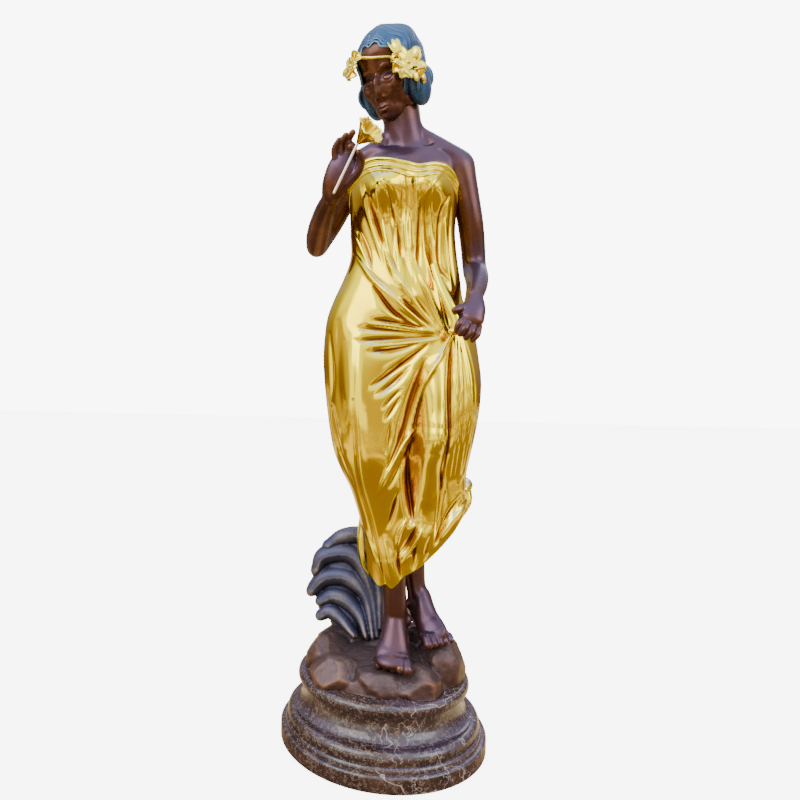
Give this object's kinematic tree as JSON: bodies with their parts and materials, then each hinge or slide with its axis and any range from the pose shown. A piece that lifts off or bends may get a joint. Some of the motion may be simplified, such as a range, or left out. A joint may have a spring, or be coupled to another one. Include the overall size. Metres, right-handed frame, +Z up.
{
  "type": "garden statue of a woman",
  "caption": "Standing woman in a gathered gown smelling a flower, cast brass on a turned round marble plinth.",
  "frame": {"origin": "centre of the plinth's underside", "axes": "+Z up, the woman faces -Y"},
  "size_m": [0.428, 0.4412, 1.4745],
  "materials": {
    "marble": "polished dark brown marble with tan flecks and thin white veins",
    "cast_brass": "mirror-polished gown, dark brown patina on the skin and rock, blue patina on the hair and wave",
    "gilt_brass": "polished"
  },
  "bodies": {
    "root": {"plinth": "marble", "figure": "cast_brass", "held_flower": "gilt_brass"}
  },
  "joints": []
}
